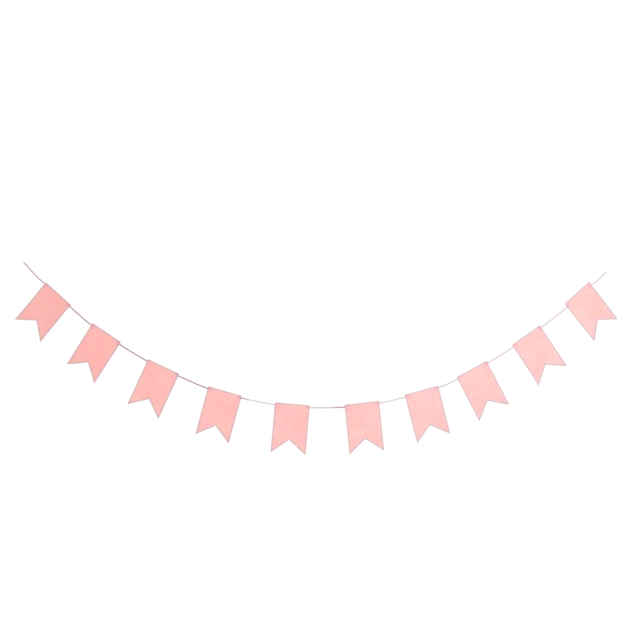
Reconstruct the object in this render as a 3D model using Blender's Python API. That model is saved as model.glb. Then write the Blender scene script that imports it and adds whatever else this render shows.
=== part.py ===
"""A paper party banner: ten swallow-tailed paper flags threaded on one string.

Metres, +Z up. The string's left end, where the banner is held, is the origin.
The banner runs along +X, and the flags face -Y."""

import math

import bmesh
import bpy
from mathutils import Matrix, Vector

MM = 0.001

# The flags, all cut alike
FLAG_WIDTH = 140 * MM
FLAG_LENGTH = 200 * MM
NOTCH_DEPTH = 55 * MM
SHEET_THICKNESS = 1.0 * MM
GRID_COLUMNS = 8
GRID_ROWS = 8

# The two punched holes near a flag's top corners
HOLE_DIAMETER = 7.0 * MM
HOLE_FROM_SIDE = 9 * MM
HOLE_SIDES = 16
PUNCH_LENGTH = 12 * MM
HANDS = (-1, 1)

# The string. Each flag hangs on it by the upper rims of its holes, so the holes' centres lie lower.
# In a gap it leaves one flag and meets the next along their top edges, and is nearly straight
# between: the lower its ease, the tighter. Its points there lie at these shares of the gap.
STRING_DIAMETER = 3.5 * MM
STRING_CLEARANCE = 0.7 * MM
STRING_ROUNDNESS = 2
HOLE_BELOW_STRING = 1.2 * MM
CROSSING_HALF_RUN = 2.2 * MM
GAP_EASE = 0.6
GAP_SHARES = (0.1, 0.37, 0.63, 0.9)

# A flag's dish grows from none at its top edge to its full depth at this share of its length
DISH_FULL = 0.5

# How each flag hangs. Its top edge's middle is across, forward and down from the origin, in mm.
# Its slope along the string and its turn about the vertical are in degrees. The string crosses it
# drop mm below its top edge. Lower down, its middle is set back by dish mm from its two sides, and
# its tips curl forward by left and right mm.
FLAG_KEYS = ("across", "forward", "down", "slope", "turn", "drop", "dish", "left", "right")
HUNG_FLAGS = (
    (145, 14, 127, 40.8, -7.0, 7, 4.0, 4.0, -3.0),
    (345, 29, 285, 33.2, -5.3, 10, 3.5, -4.0, 3.5),
    (577, 44, 421, 24.8, -3.9, 8.5, 3.0, 3.0, 5.0),
    (825, 54, 519, 15.5, -3.1, 9, 4.5, -3.5, -5.0),
    (1095, 59, 570, 5.0, 0.6, 9, 4.5, 5.0, 2.0),
    (1373, 59, 566, -5.8, 5.1, 9, 3.5, -3.0, 4.0),
    (1612, 53, 516, -14.6, 4.9, 8.5, 4.0, 2.0, -4.0),
    (1815, 45, 431, -27.5, 6.4, 9, 5.0, 4.0, 3.0),
    (2036, 32, 295, -34.2, 5.8, 10.5, 3.5, -5.0, 2.0),
    (2246, 15, 124, -40.4, 11.2, 16, 3.0, 3.5, -3.5),
)
FLAGS = [dict(zip(FLAG_KEYS, row)) for row in HUNG_FLAGS]

# The string's two free ends, from the bare tip to the flag at the left and from the flag to the
# bare tip at the right, across, forward and down in mm
LEFT_END = ((0, 0, 0), (58, 7, 61))
RIGHT_END = ((2336, 6, 72), (2361, 5, 46), (2370, 4, 39))

# Colours, roughness and metallic values
PAPER_PINK = (0.965, 0.515, 0.485, 1.0)
PAPER_ROUGHNESS = 0.85
STRING_PINK = (0.560, 0.270, 0.310, 1.0)
STRING_ROUGHNESS = 0.90
METALLIC = 0.0


def clear_scene():
    for obj in list(bpy.data.objects):
        bpy.data.objects.remove(obj, do_unlink=True)


def make_material(name, colour, roughness):
    material = bpy.data.materials.new(name)
    material.use_nodes = True
    shader = material.node_tree.nodes["Principled BSDF"]
    shader.inputs["Base Color"].default_value = colour
    shader.inputs["Roughness"].default_value = roughness
    shader.inputs["Metallic"].default_value = METALLIC
    material.diffuse_color = colour
    return material


def paper_material():
    return make_material("pink_paper", PAPER_PINK, PAPER_ROUGHNESS)


def string_material():
    return make_material("cotton_string", STRING_PINK, STRING_ROUGHNESS)


def link(obj):
    bpy.context.scene.collection.objects.link(obj)
    return obj


def place_of(across, forward, down):
    """A point given as across, forward and down in mm, in metres."""
    return Vector((across, -forward, -down)) * MM


def flag_matrix(flag):
    """Where a flag hangs: its own X runs along its top edge, and its own -Z down its length."""
    turn = Matrix.Rotation(math.radians(flag["turn"]), 4, "Z")
    slope = Matrix.Rotation(math.radians(flag["slope"]), 4, "Y")
    place = place_of(flag["across"], flag["forward"], flag["down"])
    return Matrix.Translation(place) @ turn @ slope


def smooth_step(share):
    share = min(max(share, 0.0), 1.0)
    return share * share * (3 - 2 * share)


def sheet_point(flag, side, drop):
    """A point of a flag's curled middle surface, side metres from its centre line and drop metres
    below its top edge, in the flag's own frame."""
    across = side / (FLAG_WIDTH / 2)
    down = drop / FLAG_LENGTH
    dish = flag["dish"] * (1 - across**2) * smooth_step(down / DISH_FULL)
    left_tip = flag["left"] * ((1 - across) / 2) ** 2 * down**3
    right_tip = flag["right"] * ((1 + across) / 2) ** 2 * down**3
    return Vector((side, (dish - left_tip - right_tip) * MM, -drop))


def sheet_normal(flag, side, drop):
    """The backward normal of a flag's middle surface."""
    step = 0.5 * MM
    along = sheet_point(flag, side + step, drop) - sheet_point(flag, side - step, drop)
    down = sheet_point(flag, side, drop + step) - sheet_point(flag, side, drop - step)
    return along.cross(down).normalized()


def bottom_drop(side):
    """How far below the top edge the notched bottom edge lies."""
    return FLAG_LENGTH - NOTCH_DEPTH * (1 - abs(side) / (FLAG_WIDTH / 2))


def sheet_mesh(flag, name):
    """A flag's middle surface as a grid, whose lower edge follows the swallow tail."""
    form = bmesh.new()
    grid = []
    for row in range(GRID_ROWS + 1):
        line = []
        for column in range(GRID_COLUMNS + 1):
            side = FLAG_WIDTH * (column / GRID_COLUMNS - 0.5)
            drop = bottom_drop(side) * row / GRID_ROWS
            line.append(form.verts.new(sheet_point(flag, side, drop)))
        grid.append(line)
    for upper, lower in zip(grid, grid[1:]):
        for column in range(GRID_COLUMNS):
            form.faces.new((upper[column], lower[column], lower[column + 1], upper[column + 1]))
    mesh = bpy.data.meshes.new(name)
    form.to_mesh(mesh)
    form.free()
    return mesh


def punch_mesh(flag, name):
    """Two round punches that stand square to the sheet, one through each hole."""
    form = bmesh.new()
    for hand in HANDS:
        side = hand * (FLAG_WIDTH / 2 - HOLE_FROM_SIDE)
        drop = flag["drop"] * MM + HOLE_BELOW_STRING
        centre = Matrix.Translation(sheet_point(flag, side, drop))
        lie = Vector((0, 0, 1)).rotation_difference(sheet_normal(flag, side, drop))
        bmesh.ops.create_cone(
            form,
            cap_ends=True,
            segments=HOLE_SIDES,
            radius1=HOLE_DIAMETER / 2,
            radius2=HOLE_DIAMETER / 2,
            depth=PUNCH_LENGTH,
            matrix=centre @ lie.to_matrix().to_4x4(),
        )
    mesh = bpy.data.meshes.new(name)
    form.to_mesh(mesh)
    form.free()
    return mesh


def make_flag(number, flag, paper):
    """One paper flag, thickened from its middle surface and punched twice."""
    name = f"flag_{number:02d}"
    obj = link(bpy.data.objects.new(name, sheet_mesh(flag, name)))
    obj.matrix_world = flag_matrix(flag)
    obj.data.materials.append(paper)

    thickness = obj.modifiers.new("sheet", "SOLIDIFY")
    thickness.thickness = SHEET_THICKNESS
    thickness.offset = 0
    thickness.use_even_offset = True

    punch = link(bpy.data.objects.new(f"{name}_punch", punch_mesh(flag, f"{name}_punch")))
    punch.parent = obj
    punch.hide_render = True
    punch.display_type = "WIRE"

    holes = obj.modifiers.new("holes", "BOOLEAN")
    holes.operation = "DIFFERENCE"
    holes.solver = "EXACT"
    holes.object = punch
    return obj


def threaded_points(flag):
    """The string's own points at one flag, left to right: in front of the sheet outside each hole,
    and behind it between the two holes."""
    away = SHEET_THICKNESS / 2 + STRING_CLEARANCE + STRING_DIAMETER / 2
    drop = flag["drop"] * MM
    points = []
    for hand in HANDS:
        side = hand * (FLAG_WIDTH / 2 - HOLE_FROM_SIDE)
        centre = sheet_point(flag, side, drop)
        normal = sheet_normal(flag, side, drop)
        run = (Vector((1, 0, 0)) - normal * normal.x).normalized() * CROSSING_HALF_RUN
        points.append(centre - run + normal * away * hand)
        points.append(centre + run - normal * away * hand)
    return [flag_matrix(flag) @ point for point in points]


def gap_run(start, end, leaving, arriving):
    """Points between two flags, on one smooth curve that leaves and arrives in the directions
    given."""
    pull = (end - start).length * GAP_EASE
    points = []
    for t in GAP_SHARES:
        points.append(
            start * (2 * t**3 - 3 * t**2 + 1)
            + leaving * pull * (t**3 - 2 * t**2 + t)
            + end * (3 * t**2 - 2 * t**3)
            + arriving * pull * (t**3 - t**2)
        )
    return points


def string_route():
    """The string from bare tip to bare tip, through all the flags."""
    threaded = [threaded_points(flag) for flag in FLAGS]
    edges = [(flag_matrix(flag).to_3x3() @ Vector((1, 0, 0))).normalized() for flag in FLAGS]
    route = [place_of(*point) for point in LEFT_END]
    for number, points in enumerate(threaded):
        if number:
            before = threaded[number - 1][-1]
            route += gap_run(before, points[0], edges[number - 1], edges[number])
        route += points
    return route + [place_of(*point) for point in RIGHT_END]


def make_string(twine):
    curve = bpy.data.curves.new("string", "CURVE")
    curve.dimensions = "3D"
    curve.bevel_depth = STRING_DIAMETER / 2
    curve.bevel_resolution = STRING_ROUNDNESS
    curve.use_fill_caps = True
    route = string_route()
    spline = curve.splines.new("POLY")
    spline.points.add(len(route) - 1)
    for point, place in zip(spline.points, route):
        point.co = (*place, 1.0)
    spline.use_smooth = True
    curve.materials.append(twine)
    return link(bpy.data.objects.new("string", curve))


def main():
    clear_scene()
    paper = paper_material()
    for number, flag in enumerate(FLAGS, start=1):
        make_flag(number, flag, paper)
    make_string(string_material())


main()
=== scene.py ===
# A paper party banner: ten pink card flags on one thin twine, hung from its two bare ends.
import math

import bmesh
import bpy
from mathutils import Matrix, Vector, geometry, noise


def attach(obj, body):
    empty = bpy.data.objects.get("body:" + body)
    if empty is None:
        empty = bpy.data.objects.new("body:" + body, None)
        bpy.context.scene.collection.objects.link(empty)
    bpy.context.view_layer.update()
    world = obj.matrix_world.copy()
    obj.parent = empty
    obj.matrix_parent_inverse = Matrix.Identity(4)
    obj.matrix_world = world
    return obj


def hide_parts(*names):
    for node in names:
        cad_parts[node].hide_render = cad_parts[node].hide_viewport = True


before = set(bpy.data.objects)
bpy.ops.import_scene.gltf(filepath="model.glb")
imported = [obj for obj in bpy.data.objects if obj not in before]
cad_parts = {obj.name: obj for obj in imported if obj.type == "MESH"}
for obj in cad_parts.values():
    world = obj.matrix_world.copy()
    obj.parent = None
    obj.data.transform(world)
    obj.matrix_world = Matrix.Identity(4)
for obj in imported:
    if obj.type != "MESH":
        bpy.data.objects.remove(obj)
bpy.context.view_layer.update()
mm = 0.001
print("frame loaded:", len(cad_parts), "nodes")


# Small helpers

def linearColour(hexColour):
    parts = [int(hexColour[i:i + 2], 16) / 255 for i in (1, 3, 5)]
    linear = [c / 12.92 if c <= 0.04045 else ((c + 0.055) / 1.055) ** 2.4 for c in parts]
    return (*linear, 1.0)


def addNode(material, kind, settings=None, inputs=None, links=None):
    node = material.node_tree.nodes.new(kind)
    for name, value in (settings or {}).items():
        setattr(node, name, value)
    for name, value in (inputs or {}).items():
        node.inputs[name].default_value = value
    for name, (source, output) in (links or {}).items():
        material.node_tree.links.new(source.outputs[output], node.inputs[name])
    return node


def newMaterial(name):
    material = bpy.data.materials.new(name)
    material.use_nodes = True
    material.node_tree.nodes.clear()
    return material


def addObject(name, data):
    obj = bpy.data.objects.new(name, data)
    bpy.context.scene.collection.objects.link(obj)
    return obj


def smoothStep(share):
    share = min(max(share, 0.0), 1.0)
    return share * share * (3 - 2 * share)


# Camera, at the photo's height and distance

photoView = {
    "distance": 3.5,               # from the middle of the banner
    "frameWidth": 2.56,            # what the square frame takes in at that distance
    "target": (1.2055, -0.060, -0.2344),
    "sensor": 36.0,
    "nearest": 0.1,
    "farthest": 50.0,
}


def makeCamera(settings):
    data = bpy.data.cameras.new("photoCamera")
    data.sensor_width = settings["sensor"]
    data.lens = settings["sensor"] * settings["distance"] / settings["frameWidth"]
    data.clip_start = settings["nearest"]
    data.clip_end = settings["farthest"]
    camera = addObject("photoCamera", data)
    camera.location = Vector(settings["target"]) - Vector((0, settings["distance"], 0))
    camera.rotation_euler = (math.pi / 2, 0, 0)
    bpy.context.scene.camera = camera


makeCamera(photoView)
print("camera made")


# How the banner hangs, as in the frame

flagCut = {
    "width": 140 * mm,
    "length": 200 * mm,
    "notch": 55 * mm,
    "holeDiameter": 7 * mm,
    "holeFromSide": 9 * mm,
    "holeBelowTwine": 1.2 * mm,    # each card hangs on the twine by the upper rims of its holes
    "dishFull": 0.5,               # the dish grows to its full depth by this share of the length
}

# Across, forward and down of the top edge's middle, in mm. Slope along the twine and turn about
# the vertical, in degrees. Then in mm: the twine's drop from the top edge, how far the middle is
# set back lower down, and how far the two tips curl forward.
hangColumns = ("across", "forward", "down", "slope", "turn", "drop", "dish", "left", "right")
hungFlags = [dict(zip(hangColumns, row)) for row in (
    (145, 14, 127, 40.8, -7.0, 7, 4.0, 4.0, -3.0),
    (345, 29, 285, 33.2, -5.3, 10, 3.5, -4.0, 3.5),
    (577, 44, 421, 24.8, -3.9, 8.5, 3.0, 3.0, 5.0),
    (825, 54, 519, 15.5, -3.1, 9, 4.5, -3.5, -5.0),
    (1095, 59, 570, 5.0, 0.6, 9, 4.5, 5.0, 2.0),
    (1373, 59, 566, -5.8, 5.1, 9, 3.5, -3.0, 4.0),
    (1612, 53, 516, -14.6, 4.9, 8.5, 4.0, 2.0, -4.0),
    (1815, 45, 431, -27.5, 6.4, 9, 5.0, 4.0, 3.0),
    (2036, 32, 295, -34.2, 5.8, 10.5, 3.5, -5.0, 2.0),
    (2246, 15, 124, -40.4, 11.2, 16, 3.0, 3.5, -3.5),
)]


def placeOf(across, forward, down):
    return Vector((across, -forward, -down)) * mm


def flagMatrix(flag):
    turn = Matrix.Rotation(math.radians(flag["turn"]), 4, "Z")
    slope = Matrix.Rotation(math.radians(flag["slope"]), 4, "Y")
    return Matrix.Translation(placeOf(flag["across"], flag["forward"], flag["down"])) @ turn @ slope


def sheetPoint(flag, side, drop):
    across = side / (flagCut["width"] / 2)
    down = drop / flagCut["length"]
    dish = flag["dish"] * (1 - across ** 2) * smoothStep(down / flagCut["dishFull"])
    leftTip = flag["left"] * ((1 - across) / 2) ** 2 * down ** 3
    rightTip = flag["right"] * ((1 + across) / 2) ** 2 * down ** 3
    return Vector((side, (dish - leftTip - rightTip) * mm, -drop))


def sheetNormal(flag, side, drop, step=0.5 * mm):
    along = sheetPoint(flag, side + step, drop) - sheetPoint(flag, side - step, drop)
    down = sheetPoint(flag, side, drop + step) - sheetPoint(flag, side, drop - step)
    return along.cross(down).normalized()


# Cotton twine: three soft yarns twisted together, dyed a dusty pink that took unevenly. The eye
# sees a matt thread with a fine slant of light and dark where the yarns turn, deeper in some
# stretches, and painted lighter and rosier near the holes: painted light where it crosses the card.

dustyTwine = {
    "deepDye": "#B0768B",
    "paleDye": "#DFCECA",
    "holeLitPink": "#FBB9C4",       # a light pink, painted light where the twine crosses the card near the holes
    "grooveShade": 0.72,           # how dark the grooves between the yarns are
    "fibreSize": 0.5 * mm,
    "fibreShade": 0.25,            # the share of the fibres in that dark, beside the grooves
    "bump": 0.08 * mm,
    "bumpStrength": 0.7,
    "roughness": 0.9,
    "specular": 0.2,
    "sheen": 0.35,                 # loose cotton fibres at the outline
}


def makeDustyTwine(look):
    twine = newMaterial("dustyPinkCottonTwine")
    groove = addNode(twine, "ShaderNodeAttribute", {"attribute_name": "yarnGroove"})
    place = addNode(twine, "ShaderNodeTexCoord")
    fibres = addNode(
        twine, "ShaderNodeTexNoise",
        inputs={"Scale": 1 / look["fibreSize"], "Detail": 3.0, "Roughness": 0.6},
        links={"Vector": (place, "Object")},
    )
    depthOfDye = addNode(twine, "ShaderNodeAttribute", {"attribute_name": "dyeDepth"})
    dyed = addNode(
        twine, "ShaderNodeMix", {"data_type": "RGBA"},
        {"A": linearColour(look["paleDye"]), "B": linearColour(look["deepDye"])},
        {"Factor": (depthOfDye, "Fac")},
    )
    # painted light: the twine is lighter and pinker near the holes, where it crosses the card
    holeLightAndShade = addNode(twine, "ShaderNodeAttribute", {"attribute_name": "holeLightAndShade"})
    tinted = addNode(
        twine, "ShaderNodeMix", {"data_type": "RGBA"},
        {"B": linearColour(look["holeLitPink"])},
        {"Factor": (holeLightAndShade, "Fac"), "A": (dyed, "Result")},
    )
    dark = addNode(
        twine, "ShaderNodeMix", {"data_type": "FLOAT"},
        {"Factor": look["fibreShade"]}, {"A": (groove, "Fac"), "B": (fibres, "Fac")},
    )
    shade = addNode(
        twine, "ShaderNodeMapRange", inputs={"To Min": 1.0, "To Max": look["grooveShade"]},
        links={"Value": (dark, "Result")},
    )
    colour = addNode(
        twine, "ShaderNodeVectorMath", {"operation": "MULTIPLY"},
        links={0: (tinted, "Result"), 1: (shade, "Result")},
    )
    bump = addNode(
        twine, "ShaderNodeBump",
        inputs={"Distance": look["bump"], "Strength": look["bumpStrength"]},
        links={"Height": (fibres, "Fac")},
    )
    shader = addNode(
        twine, "ShaderNodeBsdfPrincipled",
        inputs={
            "Roughness": look["roughness"], "Sheen Weight": look["sheen"],
            "Specular IOR Level": look["specular"],
        },
        links={"Base Color": (colour, "Vector"), "Normal": (bump, "Normal")},
    )
    addNode(twine, "ShaderNodeOutputMaterial", links={"Surface": (shader, "BSDF")})
    return twine


twineCut = {
    "diameter": 3.5 * mm,
    "sheetThickness": 1.0 * mm,    # of the frame's flags
    "clearance": 0.7 * mm,
    "crossingRun": 2.2 * mm,       # half the run along the card while the twine goes through it
    "gapEase": 0.6,                # the lower, the straighter it hangs between two flags
    "gapShares": (0.1, 0.37, 0.63, 0.9),
    "leftEnd": ((0, 0, 0), (58, 7, 61)),
    "rightEnd": ((2336, 6, 72), (2361, 5, 46), (2370, 4, 39)),
    "ringSpacing": 1.3 * mm,
    "ringPoints": 15,
    "smoothing": 3,
    "yarns": 3,
    "lobe": 0.10,                  # how far the yarns stand out and the grooves lie in, by radius
    "lay": 9 * mm,                 # length of one full twist
    "fluff": 1.25,                 # its loose fibres stand this much proud of its diameter
    "squeezed": 1.08,              # and this much where the holes' rims hold them in
    "holeLightAndShade": 0.85,                # how much of that painted light, lighter and pinker, it gets in the holes
    "holeLitWhole": 4 * mm,         # all of that so near a hole's middle
    "holeLightAndShadeReach": 14 * mm,        # and none of it from here on
    # how deep the dye is, and until which share of the twine's length
    "dyed": (
        (0.6, 0.07), (0.95, 0.27), (1.0, 0.401), (0.0, 0.468),
        (0.25, 0.531), (0.95, 0.57), (0.1, 0.66), (0.2, 1.0),
    ),
    "dyeBlend": 0.016,             # share of the length over which one stretch turns to the next
}


def threadedPoints(flag):
    away = twineCut["sheetThickness"] / 2 + twineCut["clearance"] + twineCut["diameter"] / 2
    points = []
    for hand in (-1, 1):
        side = hand * (flagCut["width"] / 2 - flagCut["holeFromSide"])
        centre = sheetPoint(flag, side, flag["drop"] * mm)
        normal = sheetNormal(flag, side, flag["drop"] * mm)
        run = (Vector((1, 0, 0)) - normal * normal.x).normalized() * twineCut["crossingRun"]
        points.append(centre - run + normal * away * hand)
        points.append(centre + run - normal * away * hand)
    return [flagMatrix(flag) @ point for point in points]


def gapRun(start, end, leaving, arriving):
    pull = (end - start).length * twineCut["gapEase"]
    points = []
    for t in twineCut["gapShares"]:
        points.append(
            start * (2 * t ** 3 - 3 * t ** 2 + 1) + leaving * pull * (t ** 3 - 2 * t ** 2 + t)
            + end * (3 * t ** 2 - 2 * t ** 3) + arriving * pull * (t ** 3 - t ** 2)
        )
    return points


def twineRoute():
    edges = [(flagMatrix(flag).to_3x3() @ Vector((1, 0, 0))).normalized() for flag in hungFlags]
    route = [placeOf(*point) for point in twineCut["leftEnd"]]
    last = None
    for number, flag in enumerate(hungFlags):
        points = threadedPoints(flag)
        if last is not None:
            route += gapRun(last, points[0], edges[number - 1], edges[number])
        route += points
        last = points[-1]
    return route + [placeOf(*point) for point in twineCut["rightEnd"]]


def holeMiddles():
    side = flagCut["width"] / 2 - flagCut["holeFromSide"]
    return [
        flagMatrix(flag) @ sheetPoint(flag, hand * side, flag["drop"] * mm)
        for flag in hungFlags for hand in (-1, 1)
    ]


def dyeDepthAt(share, look):
    depth = look["dyed"][0][0]
    for (_, until), (after, _) in zip(look["dyed"], look["dyed"][1:]):
        depth += (after - depth) * smoothStep((share - until) / look["dyeBlend"] + 0.5)
    return depth


def evenSteps(route, spacing):
    points = [route[0]]
    carried = 0.0
    for start, end in zip(route, route[1:]):
        length = (end - start).length
        at = spacing - carried
        while at < length:
            points.append(start.lerp(end, at / length))
            at += spacing
        carried = length - (at - spacing)
    points.append(route[-1])
    return points


def smoothLine(line):
    between = [(a + b * 2 + c) / 4 for a, b, c in zip(line, line[1:], line[2:])]
    return line[:1] + between + line[-1:]


def twistedMesh(line, look):
    form = bmesh.new()
    groove = form.verts.layers.float.new("yarnGroove")
    dyeAndShade = form.verts.layers.float.new("dyeDepth")
    holeLightAndShade = form.verts.layers.float.new("holeLightAndShade")
    holes = holeMiddles()
    count = look["ringPoints"]
    rings = []
    run = 0.0
    up = Vector((0, -1, 0))
    for i, point in enumerate(line):
        along = (line[min(i + 1, len(line) - 1)] - line[max(i - 1, 0)]).normalized()
        up = (up - along * up.dot(along)).normalized()
        side = along.cross(up)
        if i:
            run += (point - line[i - 1]).length
        toHole = min((point - middle).length for middle in holes)
        inHole = smoothStep(
            (look["holeLightAndShadeReach"] - toHole) / (look["holeLightAndShadeReach"] - look["holeLitWhole"])
        )
        fluff = look["fluff"] + (look["squeezed"] - look["fluff"]) * inHole
        dyeHere = dyeDepthAt(i / (len(line) - 1), look)
        ring = []
        for j in range(count):
            angle = 2 * math.pi * j / count
            yarn = math.cos(look["yarns"] * (angle - 2 * math.pi * run / look["lay"]))
            radius = look["diameter"] / 2 * (fluff + look["lobe"] * yarn)
            vert = form.verts.new(point + (up * math.cos(angle) + side * math.sin(angle)) * radius)
            vert[groove] = 0.5 - 0.5 * yarn
            vert[dyeAndShade] = dyeHere
            # how much painted light, lighter and pinker, the twine gets near the holes
            vert[holeLightAndShade] = look["holeLightAndShade"] * inHole
            ring.append(vert)
        rings.append(ring)
    for near, far in zip(rings, rings[1:]):
        for j in range(count):
            after = (j + 1) % count
            face = form.faces.new((near[j], near[after], far[after], far[j]))
            face.smooth = True
    form.faces.new(rings[0])
    form.faces.new(list(reversed(rings[-1])))
    bmesh.ops.recalc_face_normals(form, faces=form.faces)
    mesh = bpy.data.meshes.new("twistedTwine")
    form.to_mesh(mesh)
    form.free()
    return mesh


def makeTwine(look, material):
    line = evenSteps(twineRoute(), look["ringSpacing"])
    for _ in range(look["smoothing"]):
        line = smoothLine(line)
    mesh = twistedMesh(line, look)
    mesh.materials.append(material)
    obj = addObject("twistedTwine", mesh)
    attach(obj, "root")
    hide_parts("string")


makeTwine(twineCut, makeDustyTwine(dustyTwine))


# Pink card: dyed in the pulp, matt, cut from the sheet. The eye sees a soft pink, slightly cloudy,
# that leans to rose in some places and to peach in others, with single darker fibres. The cut
# edges carry a thin grey band with the pink faded beside it, and round each hole is a darker,
# rosier ring of painted shade.

pinkCard = {
    "colour": "#F9AEA8",
    "paleFibre": "#FCBFB9",
    "mottleSize": 14 * mm,         # cloudy formation of the sheet
    "mottleRange": (0.38, 0.62),
    "mottleShare": 0.6,            # how far the clouds take it to the pale fibre's colour
    "toneSize": 80 * mm,           # slow drift of the dye across a sheet
    "toneRange": (0.35, 0.65),
    "toneShare": 0.4,              # how far that drift takes it there
    "rosyCast": "#FFFBFF",         # the dye leans a little to rose in one place
    "warmCast": "#FFFFF8",         # and to peach in another
    "castSize": 26 * mm,           # patches where it leans one way
    "castRange": (0.36, 0.64),
    "fibreSize": 1.6 * mm,         # real fibres are 1 to 3 mm long and a tenth of that wide
    "darkFibre": "#D27F88",        # a few fibres that took more dye
    "darkLength": 4.0 * mm,        # these are drawn coarser, so that they show
    "darkWidth": 0.04,             # the higher, the wider they are
    "darkShare": 0.6,
    "darkPatches": (0.50, 0.57),   # they lie only where the fine fibres' noise is this high
    "lightFaded": "#C7C3C4",       # as light as the card, without its pink
    "fade": 0.29,                  # how far the light took the pink out along the edges, at most
    "fadeWidth": 18 * mm,
    "edgeGrey": "#C1ACAC",
    "edgeStart": 0.75,             # how grey the very edge is, beside the grey's peak
    "edgePeak": 3.2 * mm,          # how far in from the cut edge the grey is strongest
    "edgeWidth": 9.0 * mm,         # and where it ends
    "edgePatches": (1.3, 0.6),     # it is stronger in one place than in another
    "holeRimShade": "#DA8AA2",        # a darker rose, painted shade in a ring round the holes
    "bump": 0.05 * mm,
    "bumpStrength": 0.6,
    "roughness": 0.82,
    "specular": 0.3,
    "ior": 1.5,                    # paper's cellulose and filler
}


def dyedPulp(card, look, place, mottle):
    drift = addNode(
        card, "ShaderNodeTexNoise", inputs={"Scale": 1 / look["toneSize"], "Detail": 1.0},
        links={"Vector": (place, "Vector")},
    )
    least, most = look["mottleRange"]
    formed = addNode(
        card, "ShaderNodeMapRange",
        inputs={"From Min": least, "From Max": most, "To Min": 0.0, "To Max": look["mottleShare"]},
        links={"Value": (mottle, "Result")},
    )
    least, most = look["toneRange"]
    toned = addNode(
        card, "ShaderNodeMapRange",
        inputs={"From Min": least, "From Max": most, "To Min": 0.0, "To Max": look["toneShare"]},
        links={"Value": (drift, "Fac")},
    )
    tint = addNode(
        card, "ShaderNodeMath", {"operation": "ADD"},
        links={0: (formed, "Result"), 1: (toned, "Result")},
    )
    ground = addNode(
        card, "ShaderNodeMix", {"data_type": "RGBA"},
        {"A": linearColour(look["colour"]), "B": linearColour(look["paleFibre"])},
        {"Factor": (tint, "Value")},
    )
    leaning = addNode(
        card, "ShaderNodeTexNoise",
        inputs={"Scale": 1 / look["castSize"], "Detail": 1.0, "Distortion": 0.4},
        links={"Vector": (place, "Vector")},
    )
    least, most = look["castRange"]
    leans = addNode(
        card, "ShaderNodeMapRange", inputs={"From Min": least, "From Max": most},
        links={"Value": (leaning, "Fac")},
    )
    cast = addNode(
        card, "ShaderNodeMix", {"data_type": "RGBA"},
        {"A": linearColour(look["rosyCast"]), "B": linearColour(look["warmCast"])},
        {"Factor": (leans, "Result")},
    )
    return addNode(
        card, "ShaderNodeVectorMath", {"operation": "MULTIPLY"},
        links={0: (ground, "Result"), 1: (cast, "Result")},
    )


def darkFibres(card, look, place, fibres):
    # thin curling lines, where a noise crosses its middle value
    curls = addNode(
        card, "ShaderNodeTexNoise",
        inputs={"Scale": 1 / look["darkLength"], "Detail": 1.0, "Distortion": 2.2},
        links={"Vector": (place, "Vector")},
    )
    aside = addNode(
        card, "ShaderNodeMath", {"operation": "SUBTRACT"}, {1: 0.5}, {0: (curls, "Fac")},
    )
    hair = addNode(card, "ShaderNodeMath", {"operation": "ABSOLUTE"}, links={0: (aside, "Value")})
    hairs = addNode(
        card, "ShaderNodeMapRange",
        inputs={
            "From Min": 0.0, "From Max": look["darkWidth"],
            "To Min": look["darkShare"], "To Max": 0.0,
        },
        links={"Value": (hair, "Value")},
    )
    least, most = look["darkPatches"]
    sparse = addNode(
        card, "ShaderNodeMapRange", inputs={"From Min": least, "From Max": most},
        links={"Value": (fibres, "Fac")},
    )
    return addNode(
        card, "ShaderNodeMath", {"operation": "MULTIPLY"},
        links={0: (hairs, "Result"), 1: (sparse, "Result")},
    )


def fadedEdge(card, look, edge, greyness):
    fading = addNode(
        card, "ShaderNodeMapRange", {"interpolation_type": "SMOOTHSTEP"},
        {
            "From Min": look["edgePeak"], "From Max": look["fadeWidth"],
            "To Min": look["fade"], "To Max": 0.0,
        },
        {"Value": (edge, "Fac")},
    )
    age = addNode(card, "ShaderNodeMath", {"operation": "POWER"}, {1: 2.0}, {0: (greyness, "Fac")})
    return addNode(
        card, "ShaderNodeMath", {"operation": "MULTIPLY"},
        links={0: (fading, "Result"), 1: (age, "Value")},
    )


# a greyer band along the cut edges, strongest a little way in from them
def greyEdgeBand(card, look, edge, greyness, mottle):
    rise = addNode(
        card, "ShaderNodeMapRange",
        inputs={
            "From Min": 0.0, "From Max": look["edgePeak"],
            "To Min": look["edgeStart"], "To Max": 1.0,
        },
        links={"Value": (edge, "Fac")},
    )
    fall = addNode(
        card, "ShaderNodeMapRange", {"interpolation_type": "SMOOTHSTEP"},
        {"From Min": look["edgePeak"], "From Max": look["edgeWidth"], "To Min": 1.0, "To Max": 0.0},
        {"Value": (edge, "Fac")},
    )
    band = addNode(
        card, "ShaderNodeMath", {"operation": "MINIMUM"},
        links={0: (rise, "Result"), 1: (fall, "Result")},
    )
    least, most = look["toneRange"]
    strong, weak = look["edgePatches"]
    patches = addNode(
        card, "ShaderNodeMapRange",
        inputs={"From Min": least, "From Max": most, "To Min": strong, "To Max": weak},
        links={"Value": (mottle, "Result")},
    )
    patchy = addNode(
        card, "ShaderNodeMath", {"operation": "MULTIPLY"},
        links={0: (patches, "Result"), 1: (greyness, "Fac")},
    )
    return addNode(
        card, "ShaderNodeMath", {"operation": "MULTIPLY", "use_clamp": True},
        links={0: (band, "Value"), 1: (patchy, "Value")},
    )


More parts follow.
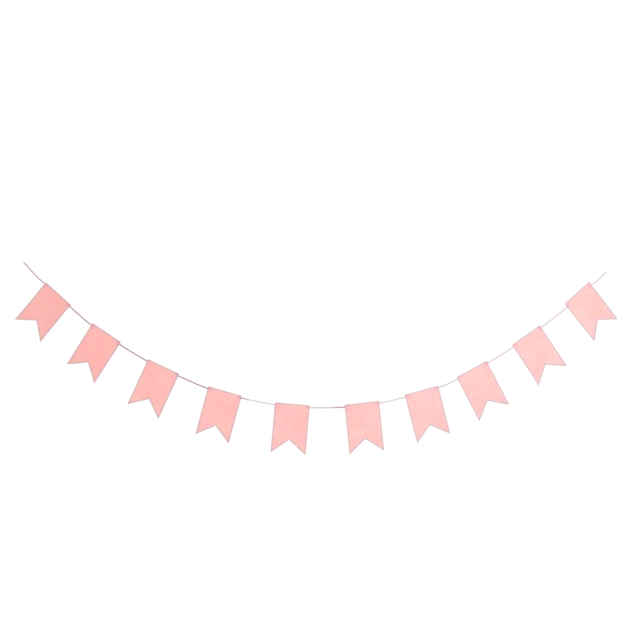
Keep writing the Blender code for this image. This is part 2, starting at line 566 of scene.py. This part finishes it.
def makePinkCard(look):
    card = newMaterial("pinkCardDyedThrough")
    place = addNode(card, "ShaderNodeAttribute", {"attribute_name": "cardPlace"})
    edge = addNode(card, "ShaderNodeAttribute", {"attribute_name": "edgeDistance"})
    greyness = addNode(card, "ShaderNodeAttribute", {"attribute_name": "edgeGreyness"})
    holeLightAndShade = addNode(card, "ShaderNodeAttribute", {"attribute_name": "holeLightAndShade"})
    clouds = addNode(
        card, "ShaderNodeTexNoise",
        inputs={"Scale": 1 / look["mottleSize"], "Detail": 3.0, "Roughness": 0.55},
        links={"Vector": (place, "Vector")},
    )
    fibres = addNode(
        card, "ShaderNodeTexNoise",
        inputs={"Scale": 1 / look["fibreSize"], "Detail": 4.0, "Roughness": 0.6, "Distortion": 1.2},
        links={"Vector": (place, "Vector")},
    )
    mottle = addNode(
        card, "ShaderNodeMix", {"data_type": "FLOAT"},
        {"Factor": 0.5}, {"A": (clouds, "Fac"), "B": (fibres, "Fac")},
    )
    colour = dyedPulp(card, look, place, mottle)
    output = "Vector"
    for layer, share, shareOutput in (
        ("darkFibre", darkFibres(card, look, place, fibres), "Value"),
        ("lightFaded", fadedEdge(card, look, edge, greyness), "Value"),
        ("edgeGrey", greyEdgeBand(card, look, edge, greyness, mottle), "Value"),
        # painted shade: a darker, rosier ring round each hole
        ("holeRimShade", holeLightAndShade, "Fac"),
    ):
        colour = addNode(
            card, "ShaderNodeMix", {"data_type": "RGBA"},
            {"B": linearColour(look[layer])},
            {"Factor": (share, shareOutput), "A": (colour, output)},
        )
        output = "Result"
    bump = addNode(
        card, "ShaderNodeBump",
        inputs={"Distance": look["bump"], "Strength": look["bumpStrength"]},
        links={"Height": (fibres, "Fac")},
    )
    shader = addNode(
        card, "ShaderNodeBsdfPrincipled",
        inputs={
            "Roughness": look["roughness"], "IOR": look["ior"],
            "Specular IOR Level": look["specular"],
        },
        links={"Base Color": (colour, output), "Normal": (bump, "Normal")},
    )
    addNode(card, "ShaderNodeOutputMaterial", links={"Surface": (shader, "BSDF")})
    return card


# The flags: each is cut from flat card, curled as it hangs, and punched twice

flagMesh = {
    "thickness": 0.45 * mm,        # 250 g card
    "spacing": 3.0 * mm,           # between the mesh's points
    "rowPitch": 0.97,              # between its rows, as a share of that
    "sameSpot": 1e-7,              # points nearer than this are one
    "holePoints": 32,
    "rimRings": (0.0, 0.8 * mm, 2.0 * mm),
    "burr": 0.15 * mm,             # how far the punch pushed each hole's rim back
    "waveHeight": 1.0 * mm,        # slight cockling of the card, half of this each way
    "waveLength": 70 * mm,
    "waveFrom": 0.12,              # share of the length from which it cockles
    "waveGrowth": 0.3,             # share of the length over which that grows
    "sheetStep": (0.71, 0.37),     # how far apart two flags lay in the sheet, for its patterns
    "seed": 7,
    "greyness": (0.60, 0.05, 0.95),    # the edges' grey: least, growth from flag to flag, and most
    "holeLightAndShade": (0.60, 0.45),        # the painted shade round the holes, on the first flag and on the last
    "holeShadeRing": 6.5 * mm,        # two thirds of it lies this near the holes, the rest spreads
    "holeLightAndShadeReach": 13 * mm,
}


def flagOutline():
    half = flagCut["width"] / 2
    length = flagCut["length"]
    return [
        Vector((-half, 0)), Vector((-half, -length)), Vector((0, flagCut["notch"] - length)),
        Vector((half, -length)), Vector((half, 0)),
    ]


def holeCentres(flag):
    side = flagCut["width"] / 2 - flagCut["holeFromSide"]
    down = flag["drop"] * mm + flagCut["holeBelowTwine"]
    return [Vector((hand * side, -down)) for hand in (-1, 1)]


def alongEdge(start, end, spacing):
    steps = max(1, round((end - start).length / spacing))
    return [start.lerp(end, i / steps) for i in range(steps)]


def distanceToEdge(point, outline):
    best = 1.0
    for start, end in zip(outline, outline[1:] + outline[:1]):
        _, share = geometry.intersect_point_line(point, start, end)
        foot = start.lerp(end, min(max(share, 0.0), 1.0))
        best = min(best, (point - foot).length)
    return best


def insideOutline(point, outline):
    inside = False
    for a, b in zip(outline, outline[1:] + outline[:1]):
        if (a.y > point.y) != (b.y > point.y):
            if point.x < a.x + (b.x - a.x) * (point.y - a.y) / (b.y - a.y):
                inside = not inside
    return inside


def loopEdges(first, count):
    return [(first + i, first + (i + 1) % count) for i in range(count)]


def ringAround(centre, radius, turned, count):
    ring = []
    for i in range(count):
        angle = 2 * math.pi * (i + turned) / count
        ring.append(centre + Vector((math.cos(angle), math.sin(angle))) * radius)
    return ring


def gridPoints(outline, centres, look):
    spacing = look["spacing"]
    clear = flagCut["holeDiameter"] / 2 + look["rimRings"][-1] + 0.5 * spacing
    points = []
    for row in range(1, int(flagCut["length"] / spacing) + 1):
        for column in range(int(flagCut["width"] / spacing) + 1):
            across = (column + 0.5 * (row % 2)) * spacing - flagCut["width"] / 2
            point = Vector((across, -row * spacing * look["rowPitch"]))
            if not insideOutline(point, outline) or distanceToEdge(point, outline) < 0.5 * spacing:
                continue
            if min((point - centre).length for centre in centres) > clear:
                points.append(point)
    return points


def cutCard(outline, centres, look):
    # the flat sheet as triangles: its outline, the two holes with rings round them, and a grid
    holeRadius = flagCut["holeDiameter"] / 2
    points = []
    for start, end in zip(outline, outline[1:] + outline[:1]):
        points += alongEdge(start, end, look["spacing"])
    edges = loopEdges(0, len(points))
    for centre in centres:
        edges += loopEdges(len(points), look["holePoints"])
        for number, extra in enumerate(look["rimRings"]):
            points += ringAround(centre, holeRadius + extra, 0.5 * number, look["holePoints"])
    points += gridPoints(outline, centres, look)
    made = geometry.delaunay_2d_cdt(points, edges, [], 0, look["sameSpot"])
    flat, triangles = made[0], made[2]
    kept = []
    for triangle in triangles:
        middle = sum((flat[i] for i in triangle), Vector((0, 0))) / 3
        # a triangle inside a hole has its middle well inside the rim's circle
        punched = min((middle - centre).length for centre in centres) < holeRadius * 0.97
        if insideOutline(middle, outline) and not punched:
            kept.append(triangle)
    return flat, kept


def curledMesh(name, number, flag, look):
    outline = flagOutline()
    centres = holeCentres(flag)
    flat, triangles = cutCard(outline, centres, look)
    shift = Vector((number * look["sheetStep"][0], number * look["sheetStep"][1], look["seed"]))
    form = bmesh.new()
    place = form.verts.layers.float_vector.new("cardPlace")
    edge = form.verts.layers.float.new("edgeDistance")
    greyness = form.verts.layers.float.new("edgeGreyness")
    holeLightAndShade = form.verts.layers.float.new("holeLightAndShade")
    leastGrey, moreGrey, mostGrey = look["greyness"]
    firstHoleShade, lastHoleShade = look["holeLightAndShade"]
    # strength of the painted shade round the holes, from the first flag to the last
    dyeAndShade = firstHoleShade + (lastHoleShade - firstHoleShade) * (number - 1) / (len(hungFlags) - 1)
    verts = []
    for point in flat:
        lie = sheetPoint(flag, point.x, -point.y)
        toHole = min((point - centre).length for centre in centres) - flagCut["holeDiameter"] / 2
        grown = (-point.y / flagCut["length"] - look["waveFrom"]) / look["waveGrowth"]
        wave = noise.noise(Vector((point.x, point.y, 0)) / look["waveLength"] + shift)
        lie.y += look["waveHeight"] * smoothStep(grown) * wave
        lie.y += look["burr"] * (1 - smoothStep(toHole / look["rimRings"][-1]))
        vert = form.verts.new(lie)
        vert[place] = Vector((point.x, point.y, 0)) + shift
        vert[edge] = distanceToEdge(point, outline)
        vert[greyness] = min(leastGrey + moreGrey * (number - 1), mostGrey)
        ring = 1 - smoothStep(toHole / look["holeShadeRing"])
        spread = 1 - smoothStep(toHole / look["holeLightAndShadeReach"])
        # painted shade in a ring round each hole, two thirds close in and the rest spread
        vert[holeLightAndShade] = dyeAndShade * (2 * ring + spread) / 3
        verts.append(vert)
    for triangle in triangles:
        face = form.faces.new([verts[i] for i in triangle])
        face.smooth = True
    loose = [vert for vert in form.verts if not vert.link_faces]
    bmesh.ops.delete(form, geom=loose, context="VERTS")
    bmesh.ops.recalc_face_normals(form, faces=form.faces)
    mesh = bpy.data.meshes.new(name)
    form.to_mesh(mesh)
    form.free()
    return mesh


def makeFlag(number, flag, look, material):
    name = f"cardFlag_{number:02d}"
    mesh = curledMesh(name, number, flag, look)
    mesh.materials.append(material)
    obj = addObject(name, mesh)
    obj.matrix_world = flagMatrix(flag)
    thick = obj.modifiers.new("cardThickness", "SOLIDIFY")
    thick.thickness = look["thickness"]
    thick.offset = 0
    thick.use_even_offset = True
    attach(obj, "root")
    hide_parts(f"flag_{number:02d}")


pinkCardMaterial = makePinkCard(pinkCard)
for number, flag in enumerate(hungFlags, start=1):
    makeFlag(number, flag, flagMesh, pinkCardMaterial)
print("flags made:", len(hungFlags))


# Floor and light

studio = {
    "floorLevel": -2.2,
    "floorReach": (3.6, 1.75),     # half its length and half its depth
    "floorFadeFrom": 0.45,         # share of the reach from which it fades into the white
    "floorColour": "#F4F2F0",
    "floorRoughness": 0.9,
    "skyLight": 0.88,              # what the white surroundings throw on the card
}

softLights = {
    "softKey": {                   # slightly cool, as from a window
        "place": (2.15, -2.25, 0.25),
        "aim": (2.15, 0.0, -0.35),
        "size": 1.2,
        "power": 30.4,
        "colour": "#F0F2FF",
    },
    "backFill": {                  # behind the banner, so that its back isn't dull
        "place": (1.2, 2.6, 0.2),
        "aim": (1.2, 0.0, -0.4),
        "size": 2.0,
        "power": 14.0,
        "colour": "#FFFFFF",
    },
}


# Matt floor paint, rolled on: an even pale grey without gloss, which fades out into the white.

def makePaintedFloor(look):
    paint = newMaterial("paleFloorPaint")
    place = addNode(paint, "ShaderNodeTexCoord")
    outward = addNode(
        paint, "ShaderNodeVectorMath", {"operation": "LENGTH"}, links={"Vector": (place, "Object")},
    )
    fade = addNode(
        paint, "ShaderNodeMapRange", {"interpolation_type": "SMOOTHSTEP"},
        {"From Min": look["floorFadeFrom"], "From Max": 1.0}, {"Value": (outward, "Value")},
    )
    shader = addNode(
        paint, "ShaderNodeBsdfPrincipled",
        inputs={
            "Base Color": linearColour(look["floorColour"]), "Roughness": look["floorRoughness"],
        },
    )
    clear = addNode(paint, "ShaderNodeBsdfTransparent")
    mixed = addNode(
        paint, "ShaderNodeMixShader",
        links={0: (fade, "Result"), 1: (shader, "BSDF"), 2: (clear, "BSDF")},
    )
    addNode(paint, "ShaderNodeOutputMaterial", links={"Surface": (mixed, "Shader")})
    return paint


def makeFloor(look):
    mesh = bpy.data.meshes.new("paleFloor")
    mesh.from_pydata([(-1, -1, 0), (1, -1, 0), (1, 1, 0), (-1, 1, 0)], [], [(0, 1, 2, 3)])
    mesh.materials.append(makePaintedFloor(look))
    floor = addObject("paleFloor", mesh)
    floor.location = (photoView["target"][0], 0, look["floorLevel"])
    floor.scale = (look["floorReach"][0], look["floorReach"][1], 1)


def makeSurroundings(look):
    world = bpy.data.worlds.new("whiteStudio")
    world.use_nodes = True
    world.node_tree.nodes.clear()
    rays = addNode(world, "ShaderNodeLightPath")
    strength = addNode(
        world, "ShaderNodeMapRange", inputs={"To Min": look["skyLight"], "To Max": 1.0},
        links={"Value": (rays, "Is Camera Ray")},
    )
    sky = addNode(
        world, "ShaderNodeBackground", inputs={"Color": (1, 1, 1, 1)},
        links={"Strength": (strength, "Result")},
    )
    addNode(world, "ShaderNodeOutputWorld", links={"Surface": (sky, "Background")})
    bpy.context.scene.world = world


def makeLight(name, settings):
    data = bpy.data.lights.new(name, "AREA")
    data.shape = "DISK"
    data.size = settings["size"]
    data.energy = settings["power"]
    data.color = linearColour(settings["colour"])[:3]
    light = addObject(name, data)
    light.location = settings["place"]
    toAim = Vector(settings["aim"]) - Vector(settings["place"])
    light.rotation_euler = toAim.to_track_quat("-Z", "Y").to_euler()
    light.visible_camera = False


makeFloor(studio)
makeSurroundings(studio)
for name, settings in softLights.items():
    makeLight(name, settings)
bpy.context.scene.view_settings.view_transform = "Standard"
bpy.context.scene.view_settings.look = "None"
print("studio made")
